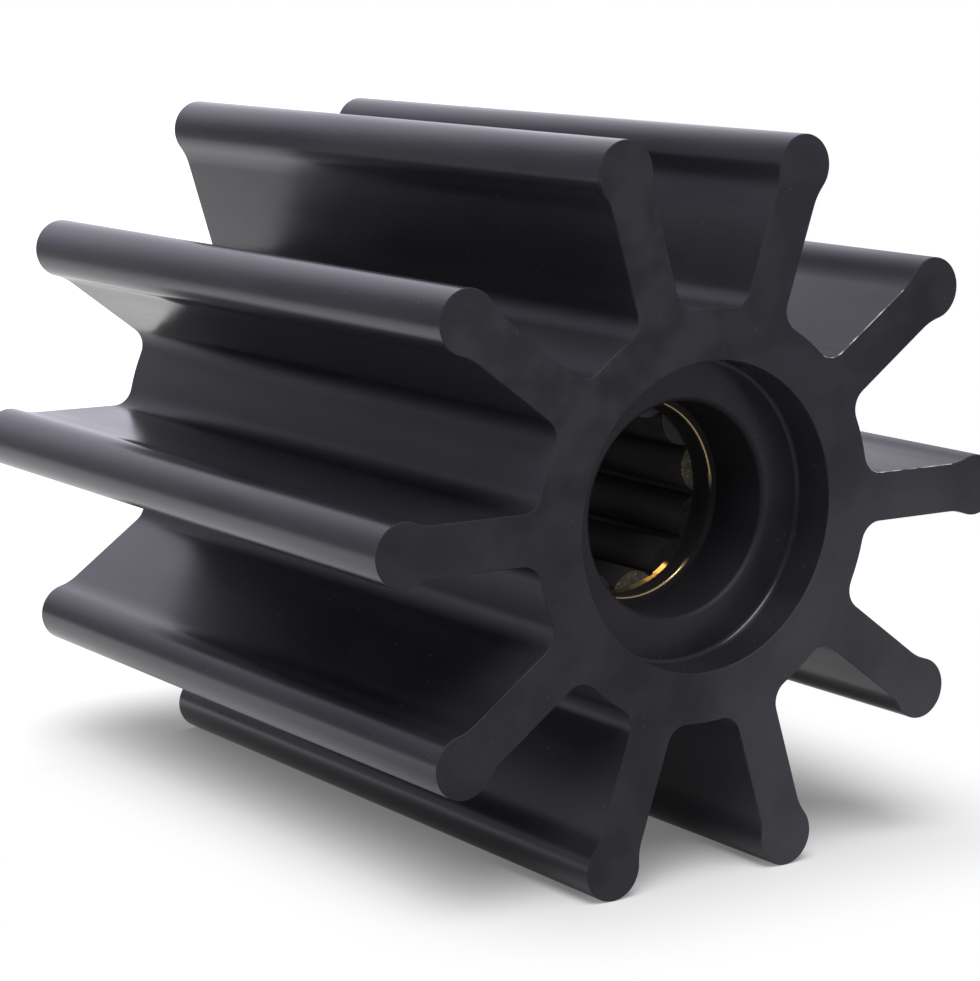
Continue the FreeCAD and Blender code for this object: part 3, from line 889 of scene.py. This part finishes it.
# %% [markdown]
# The camera stands where the photographer's stood, in front, to the left and a little above, less
# than half a metre away. That short distance makes the near end look so much larger than the far
# one. The lens is long, about 110 mm on a full frame, and fills the picture with the part.

# %% The camera
CAMERA_PLACE = Vector((-0.22400, -0.32211, 0.06559))
CAMERA_HEADING = -35.137
CAMERA_TILT = 79.92
CAMERA_ROLL = 0.606
LENS_LENGTH = 109.65
SENSOR_WIDTH = 36
NEAREST_SEEN = 0.01
FURTHEST_SEEN = 20

bpy.ops.object.camera_add()
camera = bpy.context.object
camera.data.lens = LENS_LENGTH
camera.data.sensor_width = SENSOR_WIDTH
camera.data.clip_start = NEAREST_SEEN
camera.data.clip_end = FURTHEST_SEEN
camera.matrix_world = (Matrix.Translation(CAMERA_PLACE)
                       @ Matrix.Rotation(math.radians(CAMERA_HEADING), 4, "Z")
                       @ Matrix.Rotation(math.radians(CAMERA_TILT), 4, "X")
                       @ Matrix.Rotation(math.radians(CAMERA_ROLL), 4, "Z"))
bpy.context.scene.camera = camera
print("the camera is", round(CAMERA_PLACE.length, 3), "m from the middle of the part")

# %% [markdown]
# The part lies on the tips of its two lowest vanes, on a white floor. In the photograph the shadow
# is a soft patch close round the part, and everything further out is pure white. So the floor is a
# plain pale surface that takes the shadow, and what the camera and the glossy surfaces see of it
# turns to pure white with the distance from the ground that the part covers. Behind the part the
# white is full, and in front the reflections find a dimmer floor, as in a studio lit from the back.
# The paper close to the part is also darker in its mirror than in the picture. Far out the mirrored
# floor takes the brightness of the room, and the horizon leaves no line.

# %% The floor
FLOOR_SIZE = 8.0
PAPER = (0.9, 0.9, 0.9)
MIRRORED_PAPER = (0.55, 0.55, 0.55)
FOOTPRINT_MIDDLE = (0.009, 0.004, 0)
FOOTPRINT = (0.024, 0.046, 1.0)
WHITE_BY = 0.034
LEAST_WHITE = 0.14
FRONT_LEVEL = 0.25
BACK_LEVEL = 1.2
FRONT_END = -0.10
BACK_START = 0.10
ROOM_FROM = 0.08
ROOM_BY = 0.35

bpy.ops.object.select_all(action="DESELECT")
bpy.ops.mesh.primitive_plane_add(size=FLOOR_SIZE, location=(0, 0, frame_box[0].z))
floor = bpy.context.object
floor.name = "floor"

floor_material, tree, shader, place = new_material("white_floor")
tree.nodes.remove(shader)
centred = node(tree, "VectorMath", {0: place, 1: FOOTPRINT_MIDDLE}, operation="SUBTRACT").outputs[0]
folded = node(tree, "VectorMath", {0: centred}, operation="ABSOLUTE").outputs[0]
beyond = node(tree, "VectorMath", {0: folded, 1: FOOTPRINT}, operation="SUBTRACT").outputs[0]
beyond = node(tree, "VectorMath", {0: beyond, 1: (0, 0, 0)}, operation="MAXIMUM").outputs[0]
distance = node(tree, "VectorMath", {0: beyond}, operation="LENGTH").outputs["Value"]
whiteness = spread_out(tree, distance, 0.0, WHITE_BY, LEAST_WHITE, 1.0)
rays = node(tree, "LightPath").outputs
seen = math_node(tree, "MAXIMUM", rays["Is Camera Ray"], rays["Is Glossy Ray"])
share = math_node(tree, "MULTIPLY", seen, whiteness)
depth = node(tree, "SeparateXYZ", {0: place}).outputs["Y"]
nearby = spread_out(tree, depth, FRONT_END, BACK_START, FRONT_LEVEL, BACK_LEVEL)
far_off = node(tree, "Group", {"Place": place}, node_tree=room).outputs["Level"]
blend_in = spread_out(tree, distance, ROOM_FROM, ROOM_BY)
mirrored = node(tree, "Mix", {0: blend_in, 2: nearby, 3: far_off}).outputs[0]
level = math_node(tree, "MAXIMUM", mirrored, rays["Is Camera Ray"])
white = node(tree, "Emission", {"Color": level, "Strength": 1.0}).outputs[0]
paper = mix_colours(tree, rays["Is Glossy Ray"], PAPER, MIRRORED_PAPER)
pale = node(tree, "BsdfDiffuse", {"Color": paper}).outputs[0]
blend = node(tree, "MixShader", {"Fac": share, 1: pale, 2: white}).outputs[0]
tree.links.new(blend, tree.nodes["Material Output"].inputs["Surface"])
floor.data.materials.append(floor_material)
print("the floor is at", round(frame_box[0].z / MM, 2), "mm")

# %% [markdown]
# The light is that of a small product studio. The world gives an even fill from all sides, and one
# large softbox hangs above, to the left and in front. Glossy rays get the room instead of the fill,
# with a cool tint, and the camera itself sees plain white everywhere.

# %% The light
FILL = 0.30
NO_TINT = (1, 1, 1)
SKY_TINT = (0.93, 0.91, 1.03)
SOFTBOX_PLACE = Vector((-0.25, -0.42, 0.87))
SOFTBOX_SIZE = 0.6
SOFTBOX_POWER = 7.5

world = bpy.data.worlds.new("studio")
bpy.context.scene.world = world
world.use_nodes = True
tree = world.node_tree
tree.nodes.clear()
direction = node(tree, "TexCoord").outputs["Object"]
seen_room = node(tree, "Group", {"Place": direction}, node_tree=room).outputs["Level"]
rays = node(tree, "LightPath").outputs
mirrored = node(tree, "Mix", {0: rays["Is Glossy Ray"], 2: FILL, 3: seen_room}).outputs[0]
level = node(tree, "Mix", {0: rays["Is Camera Ray"], 2: mirrored, 3: 1.0}).outputs[0]
tint = mix_colours(tree, rays["Is Glossy Ray"], NO_TINT, SKY_TINT)
background = node(tree, "Background", {"Color": tint, "Strength": level}).outputs[0]
node(tree, "OutputWorld", {"Surface": background})

bpy.ops.object.light_add(type="AREA", location=SOFTBOX_PLACE)
softbox = bpy.context.object
softbox.data.shape = "SQUARE"
softbox.data.size = SOFTBOX_SIZE
softbox.data.energy = SOFTBOX_POWER
softbox.rotation_euler = (-SOFTBOX_PLACE).to_track_quat("-Z", "Y").to_euler()
bpy.context.scene.view_settings.view_transform = "Standard"
print("softbox of", SOFTBOX_POWER, "W at", round(SOFTBOX_PLACE.length, 2), "m")
